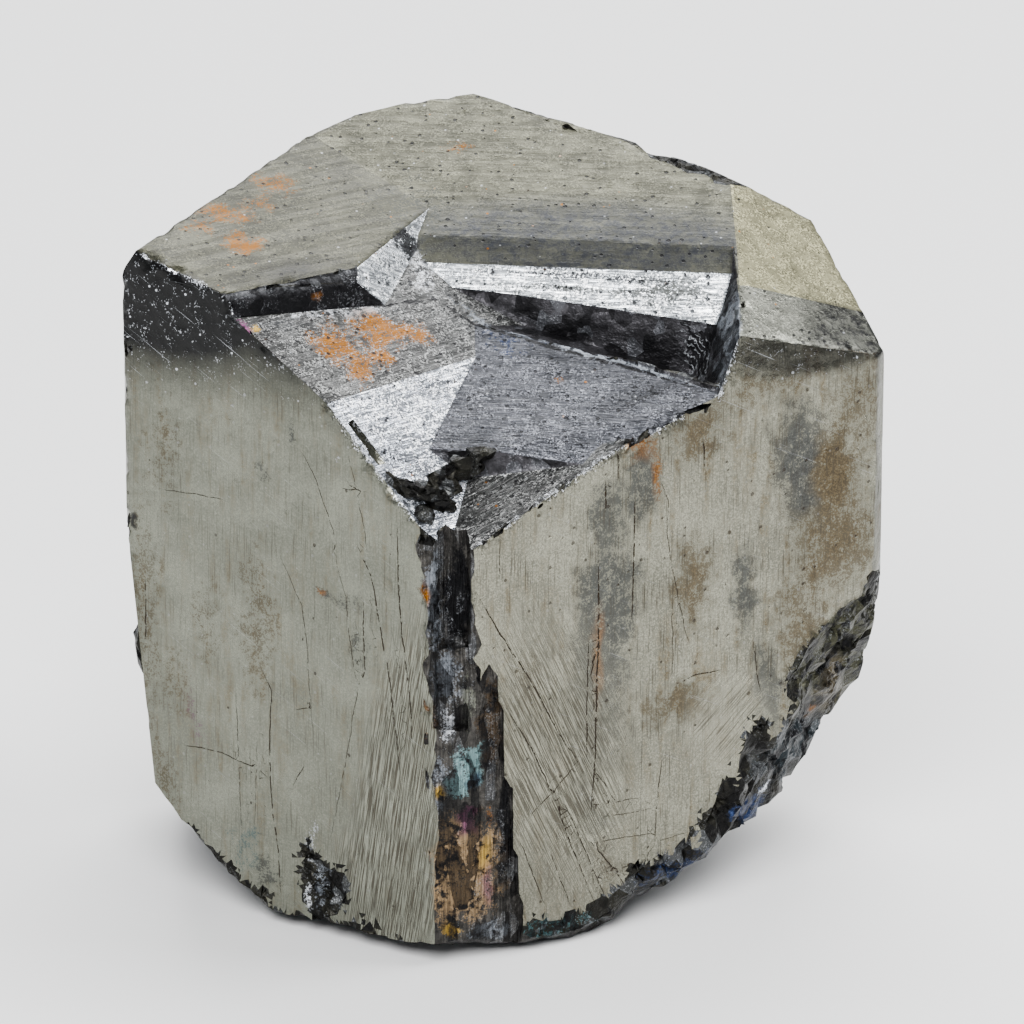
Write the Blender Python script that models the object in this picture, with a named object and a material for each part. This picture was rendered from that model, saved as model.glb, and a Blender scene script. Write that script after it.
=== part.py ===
"""One blocky crystal of columbite: two large prism faces that meet at a broken front corner, a stepped
termination above them, and a fractured foot.

The crystal is described by its faces. A flat face is a plane, given by its bearing (0 looks to the front, -Y,
and 90 to the right, +X), its pitch above the horizontal, and one point that it passes through. Planes bound
convex blocks; the blocks of the termination are joined, and the prism trims them. A second block, whose faces
are rough, then breaks off the foot, the front corner and the back of the top.
Lengths are in millimetres in the values below, and in metres in the mesh.
"""

import math
import random

import bmesh
import bpy
from mathutils import Euler, Matrix, Vector, noise

MM = 0.001
REACH = 60.0  # half the side of the cube that a block is cut from
SHIFT = (-0.12, 0.94, 0.0)  # puts the middle of the underside of the whole crystal on the origin

LEFT_BEARING = -33.0
RIGHT_BEARING = 30.0
FRONT_CORNER = (-2.6, -18.0, 0)

# The outline: the sides of the prism, seen from above, and the slopes behind the termination.
OUTLINE = {
    "left_front": (LEFT_BEARING, 0, FRONT_CORNER),
    "right_front": (RIGHT_BEARING, 0, FRONT_CORNER),
    "right_front_brow": (RIGHT_BEARING, 9, (17.0, -6.7, 30.2)),
    "left_side": (-88, 0, (-20.4, -6.2, 0)),
    "left_side_lower": (-88, -5, (-20.4, -6.2, 21.5)),
    "right_bevel": (62, 0, (20.38, -4.7, 0)),
    "right_side": (88, 0, (20.75, -4.0, 0)),
    "back_left": (RIGHT_BEARING - 180, 0, (-18.0, 8.0, 0)),
    "back_right": (LEFT_BEARING + 180, 0, (18.5, 8.0, 0)),
    "back": (178, 0, (0, 15.6, 0)),
    "left_slope": (-116.7, 35, (-18.65, -5.36, 37.44)),
    "left_corner": (-84, 30, (-19.85, -7.9, 36.75)),
    "far_left_slope": (-139.6, 35, (-8.16, 9.04, 39.94)),
    "back_slope": (-158.4, 35, (-5.39, 9.78, 40.41)),
    "back_top": (-168.6, 35, (-2.6, 10.13, 40.71)),
    "back_right_slope": (147, 40, (9.3, 7.9, 38.4)),
    "far_shoulder": (125, 56, (16.1, 2.88, 36.3)),
    "right_slope": (103, 21.5, (17.6, 1.6, 35.0)),
}

# The high back part of the termination: a roof of two faces that meet in a shallow valley, with a shoulder.
ZONE = -6.8  # the striated faces of the right crown all share this bearing
CROWN_RIGHT = {
    "roof": (ZONE, 66.2, (-4.1, 1.61, 36.9)),
    "shoulder": (53.1, 55.6, (12.55, 0.9, 37.47)),
    "bevel": (48, 51, (16.3, -3.4, 33.7)),
}
# What is broken away before it: all that is left of the flange, up to the bright bands and the wall below them.
FLANGE = (-75.4, 24.9, (13.29, -8.83, 34.06))
BANDS = {
    "brow": (ZONE, 54, (-3.37, -0.48, 36.03)),
    "band_upper": (ZONE, 34, (-3.36, -1.6, 35.53)),
    "band_lower": (ZONE, 24, (-3.36, -2.6, 34.3)),
    "wall": (-9, 4, (-0.1, -3.3, 33.24)),
}
NOSE = (56.9, 33.9, (-7.43, -4.87, 35.92))
NOTCH = {
    "left": (56.9 - 180, -33.9, (-7.76, -4.87, 35.92)),
    "right": (76, -20, (-4.1, 1.61, 36.9)),
    "behind": (180, 0, (0, 1.65, 0)),
}
CROWN_LEFT = {
    "roof": (32.6, 74.9, (-14.85, -10.04, 35.82)),
    "riser_brow": (32.6, 47, (-14.85, -10.04, 35.82)),
    "riser": (31.5, 12, (-14.6, -10.43, 35.3)),
    "nose": NOSE,
}

# The low front part of the termination, which two faces share in a shallow valley.
LEDGE_LEFT = {
    "top": (38, 57, (-14.86, -10.04, 35.0)),
    "band": (39, 44, (-2.25, -7.66, 31.17)),
    "behind": (-136, 0, (-4.25, 1.75, 0)),
}
LEDGE_RIGHT = {
    "top": (-2.2, 62.3, (11.7, -9.75, 30.0)),
    "lip": (4, 50, (2.5, -12.3, 28.5)),
    "lip_riser": (-4, 4, (2.1, -13.35, 27.0)),
    "behind": (159.3, 12, (10.64, -8.75, 30.35)),
}
LEDGE_FRONT = {"top": (-17.6, 58, (1.5, -15.63, 25.6)), "behind": (180, 0, (0, -12.4, 0))}
STRIP = {
    "top": (-2.2, 62.3, (11.7, -9.75, 30.22)),
    "front": (-20.7, 12, (10.64, -9.15, 30.3)),
    "behind": (159.3, 12, (10.64, -8.7, 30.35)),
}
TRENCH = {
    "floor": (60, 76, (11.5, -6.5, 29.3)),
    "front": (-20.7, 0, (10.64, -8.9, 0)),
    "left": (-50, 0, (-3.5, -3.0, 0)),
    "behind": (170, 0, (0, -1.0, 0)),
    "right": (90, 0, (14.0, 0, 0)),
}

# Faces of the block whose rough faces break the crystal: name, bearing, pitch, point, depth of the roughness.
BREAKS = {
    "foot": (0, -90, (0, 0, 0), 0),
    "spall": (59.3, -20.8, (18.2, -6.0, 15.2), 1.1),
    "under_right": (75, -60, (12.0, -6.0, 3.1), 0.6),
    "under_right_front": (50, -38, (11.45, -9.89, 4.3), 0.8),
    "under_far_right": (98, -40, (18.55, -0.5, 8.0), 0.6),
    "far_right": (86, -9, (20.25, -3.0, 13.6), 0.35),
    "under_front": (-14, -60, (-3.42, -17.9, 1.55), 0.5),
    "under_front_right": (38, -45, (7.35, -12.65, 1.9), 0.6),
    "under_left": (-68, -72, (-11.9, -12.05, 0.6), 0.8),
    "under_far_left": (-72, -47, (-14.9, -10.0, 2.5), 0.5),
    "under_left_end": (-80, -35, (-18.1, -7.95, 5.8), 0.5),
    "under_back": (176, -62, (0, 12.0, 2.2), 0.8),
    "under_back_left": (-140, -55, (-12.0, 9.0, 3.0), 0.8),
    "under_back_right": (140, -50, (12.0, 8.0, 4.0), 0.9),
    "corner_upper": (-11.4, 1.5, (-4.37, -16.85, 24.0), 0.3),
    "corner_lower": (16.8, -2.5, (-3.6, -17.35, 4.0), 0.35),
    "under_middle_right": (100, -84, (5.0, 0, 0), 0.35),
    "under_middle_back": (170, -83, (0, 5.0, 0), 0.4),
    "under_middle_front": (-20, -81, (-3.0, -9.5, 0), 0.35),
    "back_break": (138.5, 62, (-2.0, 10.3, 40.75), 0.4),
    "rim": (83, 78, (5.4, 6.13, 39.6), 0.45),
}
# The groove that the front corner has lost its edge to, and the shallower break under it.
GROOVE = {
    "left": (-127.7, 0, (-3.9, -17.2, 0)),
    "deep": (175, 0, (-3.0, -16.0, 0)),
    "right": (101, 0, (-1.85, -16.2, 0)),
    "top": (0, 62, (-2.4, -16.8, 24.5)),
    "bottom": (0, -48, (-2.4, -16.8, 18.2)),
}
GROOVE_FOOT = {
    "left": (-115, 0, (-3.6, -17.2, 0)),
    "deep": (172, 2, (-3.0, -16.65, 15.0)),
    "right": (95, 0, (-1.8, -16.9, 0)),
    "top": (0, 50, (-2.4, -16.8, 19.5)),
    "bottom": (-8, -60, (-2.4, -16.8, 13.4)),
}
# Splinters beside it: where each ends on the right, how high it reaches, and how far it lies behind the face.
SPLINTERS = (
    (-1.16, 17.9, 0.34),
    (-0.25, 17.3, 0.22),
    (0.07, 15.3, 0.42),
    (0.55, 10.65, 0.34),
    (0.87, 6.7, 0.52),
    (1.1, 3.9, 0.4),
)
# A slot behind the rim of the left face, where the ledge has split from it.
SLOT = {
    "front": (LEFT_BEARING, 0, (-8.2, -14.0, 0)),
    "behind": (LEFT_BEARING + 180, 0, (-8.2, -13.45, 0)),
    "left": (-123, 10, (-8.15, -14.2, 30.5)),
    "right": (57, 0, (-5.9, -15.8, 0)),
    "bottom": (28, -52, (-7.0, -14.9, 27.7)),
}
# Growth steps on the hidden faces: bearing, depth, where the step stands, its slope, and the height it ends at.
BACK_STEPS = (
    (-150.0, 0.55, (-9.0, 13.0, 0), 4, 33.0),
    (-150.0, 0.45, (-14.5, 10.0, 0), -3, 21.0),
    (147.0, 0.6, (10.5, 13.2, 0), 3, 30.0),
    (147.0, 0.5, (15.6, 9.9, 0), -4, 17.0),
    (178.0, 0.4, (1.0, 15.6, 0), 2, 24.0),
    (88.0, 0.45, (20.75, 2.2, 0), -3, 27.0),
    (-88.0, 0.4, (-20.4, 2.5, 0), 4, 28.0),
    (-88.0, 0.35, (-20.4, -2.2, 0), 3, 17.0),
)
# Runs of an edge that is chipped: two ends, how many chips, and their size.
CHIPPED = (
    ((-14.9, -10.0, 35.0), (-8.6, -14.1, 31.2), 6, 0.26),
    ((-6.0, -15.8, 27.6), (-4.9, -16.5, 26.2), 3, 0.36),
    ((-1.1, -17.2, 24.2), (3.6, -14.4, 26.6), 5, 0.26),
    ((3.6, -14.4, 27.2), (11.4, -9.9, 29.9), 6, 0.26),
    ((-18.8, -7.5, 37.0), (-14.9, -10.0, 35.9), 3, 0.22),
    ((-14.0, -9.52, 35.86), (-7.8, -5.55, 35.86), 3, 0.2),
    ((13.3, -8.9, 33.6), (12.7, -6.0, 34.6), 3, 0.35),
    ((-4.2, -17.0, 22.0), (-3.9, -17.2, 6.0), 6, 0.24),
    ((14.0, -8.5, 32.6), (20.0, -5.0, 30.6), 3, 0.2),
    ((-20.4, -6.3, 22.4), (-20.3, -6.3, 20.4), 1, 0.45),
    ((-20.4, -6.3, 33.0), (-20.4, -6.3, 26.0), 2, 0.25),
)
# Broken grains that stand in front of the lower ledge: middle, size, and the way each lies.
GRAINS = (
    ((-6.1, -15.2, 27.0), 0.75, -35),
    ((-5.2, -15.45, 26.7), 0.95, -20),
    ((-4.1, -15.4, 26.55), 1.0, 10),
    ((-3.0, -14.9, 26.8), 0.85, 35),
    ((-2.1, -14.0, 27.3), 1.0, 42),
    ((-1.1, -13.1, 27.9), 0.8, 35),
    ((-4.1, -16.0, 25.5), 0.75, 60),
    ((-3.1, -15.3, 25.8), 0.7, 15),
)
# A step in the break on the right.
RIGHT_STEP = {
    "top": (95, 79, (16.9, -3.5, 8.75)),
    "side": (-82, 3, (16.8, -3.5, 8.0)),
    "left": (-150, 0, (15.2, -8.0, 0)),
}
FLAKE = ((-19.65, -5.9, 13.8), (0.5, 0.8, 1.8))  # a flake that stands proud of the left side
SCOOP = ((-10.3, -14.5, 2.6), (1.7, 2.0, 2.9))  # a shell-shaped chip low on the left face: middle and half sizes

MIDDLE = (0.0, -1.0, 18.0)  # a rough face is broken back toward here
BALL_ROUNDS = 6


def at(x, y, z):
    return Vector((x, y, z)) * MM


def outward(bearing, pitch):
    """The outward normal of a face."""
    b, p = math.radians(bearing), math.radians(pitch)
    return Vector((math.sin(b) * math.cos(p), -math.cos(b) * math.cos(p), math.sin(p)))


def turned(face):
    """The same plane, facing the other way."""
    bearing, pitch, point = face
    return bearing + 180, -pitch, point


def cut_away(mesh, bearing, pitch, point):
    """Removes what lies outside of a face, and returns the face that closes the cut."""
    cut = bmesh.ops.bisect_plane(
        mesh,
        geom=mesh.verts[:] + mesh.edges[:] + mesh.faces[:],
        plane_co=at(*point),
        plane_no=outward(bearing, pitch),
        clear_outer=True,
    )
    rim = [item for item in cut["geom_cut"] if isinstance(item, bmesh.types.BMEdge)]
    return bmesh.ops.edgeloop_fill(mesh, edges=rim)["faces"]


def into_object(mesh, name):
    bmesh.ops.recalc_face_normals(mesh, faces=mesh.faces)
    data = bpy.data.meshes.new(name)
    mesh.to_mesh(data)
    mesh.free()
    thing = bpy.data.objects.new(name, data)
    bpy.context.scene.collection.objects.link(thing)
    return thing


def block(name, faces, reach=REACH):
    """The convex solid inside all of these faces."""
    mesh = bmesh.new()
    bmesh.ops.create_cube(mesh, size=2 * reach * MM)
    for bearing, pitch, point in faces.values():
        cut_away(mesh, bearing, pitch, point)
    return into_object(mesh, name)


def crumble(place):
    """How far a rough face is broken back at a place, from 0 to 1: terraces, with a finer grain on them."""
    bent = Vector(noise.noise(place * 0.26 + Vector((0, 0, 7 * axis))) for axis in range(3))
    terrace = noise.cell(place * 0.42 + bent * 1.1)
    swell = noise.fractal(place * 0.19, 1.0, 2.0, 3)
    fine = noise.fractal(place * 0.9, 1.0, 2.0, 2)
    return min(1.0, max(0.0, 0.5 * terrace + 0.32 + 0.35 * swell + 0.3 * fine))


def broken_surface(name, faces):
    """A ball pressed out to the nearest of these faces in every direction, and then broken back."""
    middle = Vector(MIDDLE)
    planes = [
        (outward(bearing, pitch), outward(bearing, pitch).dot(Vector(point) - middle), depth)
        for bearing, pitch, point, depth in faces.values()
    ]
    mesh = bmesh.new()
    bmesh.ops.create_icosphere(mesh, subdivisions=BALL_ROUNDS, radius=1.0)
    for vert in mesh.verts:
        way = vert.co.normalized()
        reached = [
            ((distance + 0.4 * depth) / way.dot(normal), depth)
            for normal, distance, depth in planes
            if way.dot(normal) > 0.02
        ]
        reach, depth = min(reached, default=(REACH, 0))
        place = middle + way * min(reach, 0.7 * REACH)
        vert.co = (place - way * depth * crumble(place)) * MM
    return into_object(mesh, name)


def shard(name, middle, half_sizes, seed, turn, rounds=1):
    """A small angular lump, used both for what stands proud and for what is chipped away."""
    mesh = bmesh.new()
    bmesh.ops.create_icosphere(mesh, subdivisions=rounds, radius=1.0)
    for vert in mesh.verts:
        swell = 1 + 0.45 * noise.noise(vert.co * 1.6 + Vector((seed, 0, 0)))
        vert.co = Vector(size * along for size, along in zip(half_sizes, vert.co * swell)) * MM
    bmesh.ops.rotate(mesh, verts=mesh.verts, matrix=turn.to_matrix())
    bmesh.ops.translate(mesh, verts=mesh.verts, vec=at(*middle))
    return into_object(mesh, name)


def splinter(name, right, top, depth):
    """What is missing where a splinter has come off beside the groove."""
    face = outward(RIGHT_BEARING, 0)
    on_face = (right, (right + 2.6) * math.tan(math.radians(RIGHT_BEARING)) - 18.0)
    behind = (on_face[0] - depth * face.x, on_face[1] - depth * face.y, 0)
    faces = {
        "deep": (RIGHT_BEARING + 176, 0, behind),
        "right": (100, 1, (*on_face, top)),
        "left": (-80, 0, (on_face[0] - 1.25, on_face[1] - 0.6, 0)),
        "tip": (75, 22, (*on_face, top - 0.8)),
        "other_tip": (-60, 30, (*on_face, top + 0.9)),
    }
    return block(name, faces, 30)


def growth_step(name, bearing, depth, place, slope, top):
    """What a growth step leaves out of a face: all to one side of a line, up to a height."""
    face = outward(bearing, 0)
    behind = (place[0] - depth * face.x, place[1] - depth * face.y, 0)
    side = 90 if slope > 0 else -90
    faces = {
        "deep": (bearing + 180, 0, behind),
        "side": (bearing + side, slope, (place[0], place[1], top)),
        "top": (bearing, 70, (place[0], place[1], top)),
    }
    return block(name, faces, 33)


def chips(edge, start, end, count, size):
    """The chips along one edge, each drawn out along it."""
    pick = random.Random(f"chips {edge}")
    start, end = Vector(start), Vector(end)
    along = (end - start).normalized()
    made = []
    for number in range(count):
        share = (number + pick.uniform(0.05, 0.95)) / count
        middle = start.lerp(end, share) + Vector([pick.uniform(-0.15, 0.15) for _ in range(3)])
        half_sizes = (
            size * pick.uniform(1.0, 3.6),
            size * pick.uniform(0.3, 0.8),
            size * pick.uniform(0.3, 0.75),
        )
        turn = along.to_track_quat("X", "Z").to_euler()
        turn.rotate_axis("X", pick.uniform(0, 6))
        turn.rotate_axis("Z", pick.uniform(-0.35, 0.35))
        made.append(shard(f"chip_{edge}_{number}", middle, half_sizes, pick.uniform(0, 9), turn))
    return made


def columbite():
    """Grey-black oxide with a dull metallic shine, brownish where it is tarnished."""
    stuff = bpy.data.materials.new("columbite")
    stuff.use_nodes = True
    shader = stuff.node_tree.nodes["Principled BSDF"]
    shader.inputs["Base Color"].default_value = (0.24, 0.23, 0.19, 1)
    shader.inputs["Roughness"].default_value = 0.38
    shader.inputs["Metallic"].default_value = 0.6
    return stuff


def combine(base, operation, *others):
    """Boolean of base with the others, applied; the others are removed."""
    for other in others:
        step = base.modifiers.new(operation, "BOOLEAN")
        step.operation = operation
        step.solver = "EXACT"
        step.object = other
    bpy.context.view_layer.update()
    graph = bpy.context.evaluated_depsgraph_get()
    made = bpy.data.meshes.new_from_object(base.evaluated_get(graph))
    base.modifiers.clear()
    base.data = made
    for other in others:
        bpy.data.objects.remove(other)


for old in list(bpy.data.objects):
    bpy.data.objects.remove(old)

missing = block("missing", {"flange": turned(FLANGE)}, 55)
combine(missing, "DIFFERENCE", block("bands", BANDS, 57))
combine(missing, "UNION", block("notch", NOTCH, 53))
crystal = block("columbite_crystal", CROWN_RIGHT)
combine(crystal, "DIFFERENCE", missing)
reach = 51
for part_name, part_faces in (
    ("crown_left", CROWN_LEFT),
    ("ledge_left", LEDGE_LEFT),
    ("ledge_right", LEDGE_RIGHT),
    ("ledge_front", LEDGE_FRONT),
    ("strip", STRIP),
    ("trench", TRENCH),
):
    reach -= 1.3
    combine(crystal, "UNION", block(part_name, part_faces, reach))
combine(crystal, "INTERSECT", block("outline", OUTLINE, 41))
combine(crystal, "INTERSECT", broken_surface("breaks", BREAKS))
for number, (middle, size, lie) in enumerate(GRAINS):
    half = (1.5 * size, 0.62 * size, 0.9 * size)
    turn = Euler((0.9 * number, 0.25, math.radians(lie)))
    combine(crystal, "UNION", shard(f"grain_{number}", middle, half, 1.3 * number + 0.4, turn))
combine(crystal, "UNION", shard("flake", *FLAKE, 3.1, Euler((0, -0.08, 0.1))))
combine(crystal, "DIFFERENCE", block("groove", GROOVE, 30), block("groove_foot", GROOVE_FOOT, 30))
for number, (right, top, depth) in enumerate(SPLINTERS):
    combine(crystal, "DIFFERENCE", splinter(f"splinter_{number}", right, top, depth))
combine(crystal, "DIFFERENCE", block("slot", SLOT, 30), block("right_step", RIGHT_STEP, 30))
for number, step in enumerate(BACK_STEPS):
    combine(crystal, "DIFFERENCE", growth_step(f"growth_step_{number}", *step))
combine(crystal, "DIFFERENCE", shard("scoop", *SCOOP, 2.0, Euler((0, 0.2, 0)), rounds=2))
for edge, run in enumerate(CHIPPED):
    combine(crystal, "DIFFERENCE", *chips(edge, *run))
crystal.data.transform(Matrix.Translation(at(*SHIFT)))
crystal.data.materials.clear()
crystal.data.materials.append(columbite())
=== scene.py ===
import math

import bmesh
import bpy
import numpy as np
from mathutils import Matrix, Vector, kdtree, noise


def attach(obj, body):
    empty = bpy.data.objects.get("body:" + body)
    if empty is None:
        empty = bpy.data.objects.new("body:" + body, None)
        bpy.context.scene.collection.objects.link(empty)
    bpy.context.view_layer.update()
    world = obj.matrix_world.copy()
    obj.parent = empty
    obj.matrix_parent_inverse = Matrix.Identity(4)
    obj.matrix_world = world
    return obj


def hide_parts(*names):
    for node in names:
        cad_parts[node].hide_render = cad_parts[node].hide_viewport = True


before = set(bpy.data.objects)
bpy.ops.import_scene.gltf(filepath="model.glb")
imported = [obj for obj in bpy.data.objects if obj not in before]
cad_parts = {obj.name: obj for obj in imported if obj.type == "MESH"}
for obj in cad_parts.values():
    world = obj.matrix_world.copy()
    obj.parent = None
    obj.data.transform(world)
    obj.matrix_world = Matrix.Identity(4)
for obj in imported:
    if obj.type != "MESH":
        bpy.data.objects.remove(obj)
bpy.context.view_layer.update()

# ---------------------------------------------------------------------------------------------
# The crystal: one blocky crystal of columbite, a dense grey-black oxide with a dull metallic shine.
# It grew as one piece. Two large prism faces meet at a broken front corner, a stepped termination
# slants above them, and the foot is a fracture. Here its faces get their fine relief.
# ---------------------------------------------------------------------------------------------
MM = 0.001
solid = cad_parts["columbite_crystal"]

# Which way each group of grown faces looks: bearing and pitch in degrees. Bearing 0 is the front,
# and 90 is the right.
GROWN = {
    "left_face": ((-33, 0),),
    "right_face": ((30, 0), (30, 9)),
    "roof": ((-6.8, 66.2), (-6.8, 54), (-104, 20)),
    "left_roof": ((32.6, 74.9),),
    "shoulder": ((53.1, 55.6),),
    "bevel": ((48, 51),),
    "band": ((-6.8, 34), (-6.8, 24), (56.9, 33.9)),
    "front_band": ((39, 44),),
    "ledge": ((38, 57), (-17.6, 58)),
    "sill": ((-2.2, 62.3), (4, 50)),
    "riser": ((-9, 4), (32.6, 47), (31.5, 12), (-4, 4), (-20.7, 12), (-75.4, 24.9), (60, 76)),
    "far_face": (
        *((bearing, 0) for bearing in (-150, -88, 62, 88, 147, 178)),
        *((-88, -5), (-116.7, 35), (-84, 30), (-139.6, 35), (-158.4, 35), (-168.6, 35)),
        *((147, 40), (125, 56), (103, 21.5)),
    ),
}
FINISHES = (*GROWN, "fracture", "corner")
SAME_WAY = math.cos(math.radians(1.5))  # a face that looks this nearly the same way has that finish
GROWN_AREA = 1.2  # a flat patch smaller than this, in mm2, is part of a fracture
CORNER_REACH = (-5.6, 1.6, -13.6, 24.2)  # the broken corner: left, right, back and top, in mm
# Where the chipped corners behind are as tarnished as the faces: from here back, and between these heights.
BEHIND, CHIPPED_FROM, CHIPPED_TO = 2, 4, 33
# The longest edge of the mesh on each finish, in mm: FINE where the list names none, and PLAIN on a
# fracture that looks down by more than BELOW.
FINE, PLAIN, BELOW = 0.34, 1.2, -0.3
LONGEST = {
    "left_face": 0.5,
    "right_face": 0.48,
    "roof": 0.6,
    "left_roof": 0.6,
    "shoulder": 0.7,
    "bevel": 0.5,
    "far_face": PLAIN,
}
COARSE, CLOSER = 30, 1.6  # where the halving starts, in mm, and how much finer each round is
FLAT, SHORT = math.cos(math.radians(0.2)), 0.05  # flat patches, and edges too short to turn, in mm
SAME_PLACE = 1e-7
SHARP = math.radians(24)


def outward(bearing, pitch):
    """The outward normal of a face."""
    b, p = math.radians(bearing), math.radians(pitch)
    return Vector((math.sin(b) * math.cos(p), -math.cos(b) * math.cos(p), math.sin(p)))


def name_finishes(mesh):
    """Gives every face of the solid its finish: grown faces by the way they look, the rest as fracture."""
    patches = {}
    for face in mesh.faces:
        reach = face.normal.dot(face.calc_center_median()) / MM
        key = (*(round(part, 2) for part in face.normal), round(reach, 1))
        patches.setdefault(key, []).append(face)
    for patch in patches.values():
        area = sum(face.calc_area() for face in patch) / MM**2
        for face in patch:
            middle = face.calc_center_median() / MM
            finish = "fracture"
            for name, looks in GROWN.items():
                if area > GROWN_AREA and any(face.normal.dot(outward(*look)) > SAME_WAY for look in looks):
                    finish = name
            left, right, back, top = CORNER_REACH
            at_corner = left < middle.x < right and middle.y < back and middle.z < top
            if at_corner and finish not in ("left_face", "right_face"):
                finish = "corner"
            if finish == "fracture" and middle.y > BEHIND and CHIPPED_FROM < middle.z < CHIPPED_TO:
                finish = "far_face"
            face.material_index = FINISHES.index(finish)


def longest_edge(face):
    """The longest edge allowed on a face, in mm."""
    finish = FINISHES[face.material_index]
    if finish == "fracture" and face.normal.z < BELOW:
        return PLAIN
    return LONGEST.get(finish, FINE)


def refine(mesh):
    """Halves the long edges over and over, and turns edges inside flat patches so that no sliver stays."""
    longest = COARSE
    while longest > FINE / 2:
        long_edges = [
            edge
            for edge in mesh.edges
            if edge.calc_length() > MM * max(longest, min(longest_edge(face) for face in edge.link_faces))
        ]
        bmesh.ops.subdivide_edges(mesh, edges=long_edges, cuts=1)
        bmesh.ops.triangulate(mesh, faces=[face for face in mesh.faces if len(face.verts) > 3])
        if longest > 2 * FINE:
            flat = [
                edge
                for edge in mesh.edges
                if edge.link_faces[0].material_index == edge.link_faces[1].material_index
                and edge.calc_length() > SHORT * MM
                and edge.link_faces[0].normal.dot(edge.link_faces[1].normal) > FLAT
            ]
            bmesh.ops.beautify_fill(mesh, faces=mesh.faces, edges=flat, method="ANGLE")
        longest /= CLOSER


def clamp(value):
    return min(1.0, max(0.0, value))


def chipping(place):
    """How much of a sharp edge has chipped off at a place, from 0 to 1: flakes of all sizes."""
    bent = place * 0.8 + Vector(noise.noise(place * 0.6 + Vector((0, 0, 5 * axis))) for axis in range(3))
    return clamp(0.75 * noise.cell(bent) + 0.6 * noise.noise(place * 2.1) - 0.12)


def grain(place):
    """The rough grain of a fracture, from 0 to 1."""
    bent = place * 0.9 + Vector(noise.noise(place * 0.8 + Vector((3 * axis, 0, 0))) for axis in range(3))
    return clamp(0.55 * noise.cell(bent) + 0.45 * noise.cell(bent * 2.3) + 0.25 * noise.noise(place * 2.5))


def flaking(place):
    """How far the lower fractures reach up a large face, in mm: more at the foot of the front corner."""
    bent = place * 1.3 + Vector(noise.noise(place * 0.9 + Vector((7, 5 * axis, 0))) for axis in range(3))
    below_corner = clamp(1.6 - abs(place.x - 6) / 7) * clamp(2.0 - place.z / 3)
    flakes = 0.15 + 0.5 * noise.cell(bent) + 0.25 * noise.cell(bent * 2.3) + 0.3 * noise.noise(place * 0.5)
    return 0.15 + clamp(flakes) * 0.95 + 0.75 * below_corner


def growth_lines(place, normal):
    """The relief of the growth steps that run up a prism face, from 0 to 1."""
    across = Vector((-normal.y, normal.x, 0)).dot(place)
    drift = 0.5 * noise.noise(Vector((across * 0.3, 0, place.z * 0.06)))
    coarse = noise.cell(Vector(((across + drift) * 0.55, 0, place.z * 0.03)))
    return clamp(0.7 * coarse + 0.4 * noise.noise(Vector((across * 2.2, 7, place.z * 0.1))))


# How deep each finish is worked, in mm.
DEEP = {
    "fracture": 0.36,
    "corner": 0.16,
    "riser": 0.12,
    "far_face": 0.03,
    **dict.fromkeys(("ledge", "sill", "band", "front_band"), 0.05),
    **dict.fromkeys(("roof", "left_roof"), 0.02),
}
RIM_CHIPS, EDGE_CHIPS = 0.5, 0.2  # how deep the rim of the large faces is chipped, and any other edge
RIM_WEAR_GLINT, EDGE_WEAR_GLINT = 1.0, 0.3  # how strongly painted highlights and shade grains show along each worn edge
CHIP_REACH, CHIP_SPACING = 0.75, 0.2  # how far in a chip can start, and how far apart along an edge
BRINK_TOP, BRINK_LEFT = 15.5, -17  # how high and how far left the fractures break into the large faces
RESTING = 0.05  # points below this height stay where they are


def sharp_edges(mesh):
    """Points along the outer edges, with the way in and how deep they chip, and points on fracture rims."""
    points, brink = [], []
    for edge in mesh.edges:
        one, other = edge.link_faces
        if not edge.is_convex or one.normal.angle(other.normal, 0) < SHARP:
            continue
        names = {FINISHES[one.material_index], FINISHES[other.material_index]}
        if names == {"fracture"}:
            continue
        large = names & {"left_face", "right_face"}
        rim = large and names & {"ledge", "sill", "riser", "front_band", "roof", "left_roof"}
        inward = -(one.normal + other.normal).normalized()
        start, end = (vert.co / MM for vert in edge.verts)
        steps = max(1, round((end - start).length / CHIP_SPACING))
        along = [start.lerp(end, step / steps) for step in range(steps + 1)]
        points += [(place, inward, RIM_CHIPS if rim else EDGE_CHIPS) for place in along]
        if large and "fracture" in names and start.z < BRINK_TOP and start.x > BRINK_LEFT:
            brink += along
    return points, brink


def nearest_of(places):
    """A search tree of places."""
    tree = kdtree.KDTree(len(places))
    for number, place in enumerate(places):
        tree.insert(place, number)
    tree.balance()
    return tree


def break_brinks(mesh, brink):
    """Turns the foot of the large faces into fracture, with a flaked upper edge."""
    near = nearest_of(brink)
    large = {FINISHES.index("left_face"), FINISHES.index("right_face")}
    for face in mesh.faces:
        place = face.calc_center_median() / MM
        if face.material_index in large and place.z < BRINK_TOP and near.find(place)[2] < flaking(place):
            face.material_index = FINISHES.index("fracture")


def work_surface(mesh, edge_points):
    """Moves every point in from the flat faces: chips along the edges, growth lines, and fracture grain."""
    near_edge = nearest_of([point for point, _, _ in edge_points])
    worn_glint = mesh.verts.layers.float.new("worn_glint")
    moved = []
    for vert in mesh.verts:
        place = vert.co / MM
        finishes = {FINISHES[face.material_index] for face in vert.link_faces}
        depth = min(DEEP.get(name, 0.0) for name in finishes)
        if depth and "far_face" in finishes:
            depth *= growth_lines(place, vert.normal)
        elif depth:
            depth *= grain(place)
        way = -vert.normal * depth
        _, number, distance = near_edge.find(place)
        _, inward, size = edge_points[number]
        reach = CHIP_REACH * (0.4 + size)
        if distance < reach:
            chip = chipping(place) * (1 - distance / reach)
            way += inward * size * chip
        # How strongly painted highlights and shade grains show here, near a worn edge.
        vert[worn_glint] = clamp(1 - distance / CHIP_REACH) * (RIM_WEAR_GLINT if size == RIM_CHIPS else EDGE_WEAR_GLINT)
        if place.z > RESTING:
            moved.append((vert, way * MM))
    for vert, way in moved:
        vert.co += way


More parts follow.
